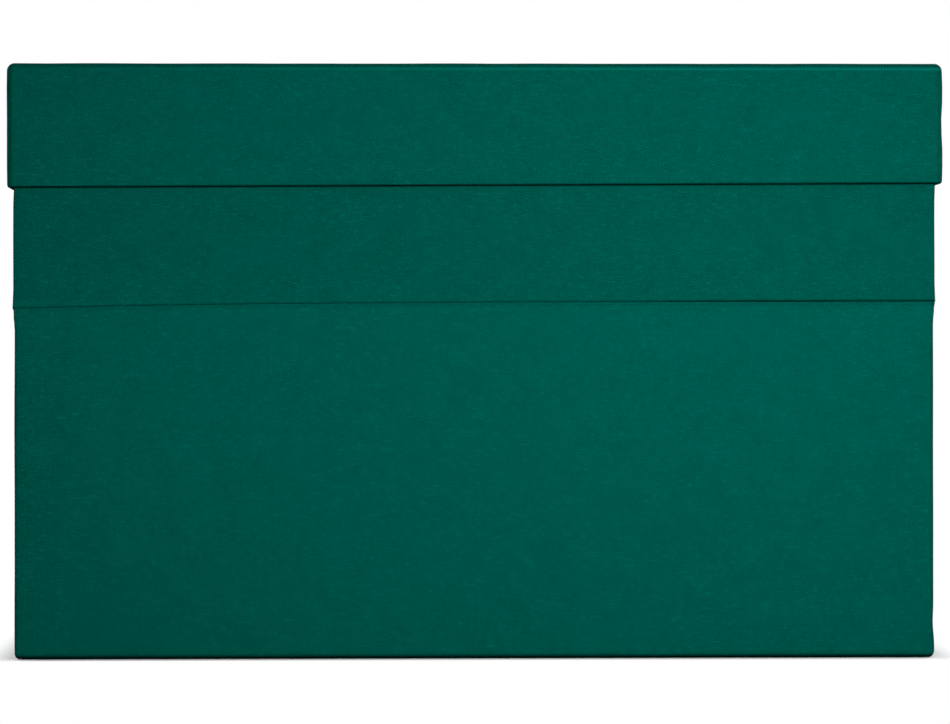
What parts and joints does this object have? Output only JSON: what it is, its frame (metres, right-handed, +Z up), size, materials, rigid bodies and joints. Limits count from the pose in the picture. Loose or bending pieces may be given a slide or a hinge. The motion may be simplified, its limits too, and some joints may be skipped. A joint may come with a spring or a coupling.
{
  "type": "transfer file box",
  "caption": "Rigid lidded file box of grey board covered in green book cloth: lift-off lid with a shallow rim, drop front with a creased cloth hinge.",
  "frame": {"origin": "on the ground under the middle of the closed box", "axes": "+Z up; -Y out of the front, which is the long side with the drop front; +X to the right seen from the front"},
  "size_m": [0.4, 0.318, 0.2546],
  "materials": {
    "book_cloth": "matt woven book cloth, glued and lightly filled",
    "base_sheet": "matt woven book cloth",
    "grey_board": "smooth grey binder's board",
    "lining_paper": "matt off-white lining paper",
    "stay_paper": "brown gummed paper"
  },
  "bodies": {
    "base": {"bottom_board": "grey_board", "left_board": "grey_board", "right_board": "grey_board", "back_board": "grey_board", "lower_front_board": "grey_board", "flap_board": "grey_board", "base_corner_stays": "stay_paper", "side_and_back_cloth": "book_cloth", "front_cloth": "book_cloth", "hinge_strip": "book_cloth", "base_sheet": "base_sheet", "floor_lining": "lining_paper", "left_lining": "lining_paper", "right_lining": "lining_paper", "back_lining": "lining_paper", "lower_front_lining": "lining_paper", "flap_lining": "lining_paper"},
    "lid": {"lid_top_board": "grey_board", "lid_front_board": "grey_board", "lid_back_board": "grey_board", "lid_left_board": "grey_board", "lid_right_board": "grey_board", "lid_corner_stays": "stay_paper", "lid_cloth": "book_cloth", "lid_top_lining": "lining_paper", "lid_rim_lining": "lining_paper"}
  },
  "joints": [
    {"name": "lid_lift", "type": "slide", "parent": "base", "child": "lid", "axis": [0, 0, 1], "range_m": [0, 0.3]}
  ]
}
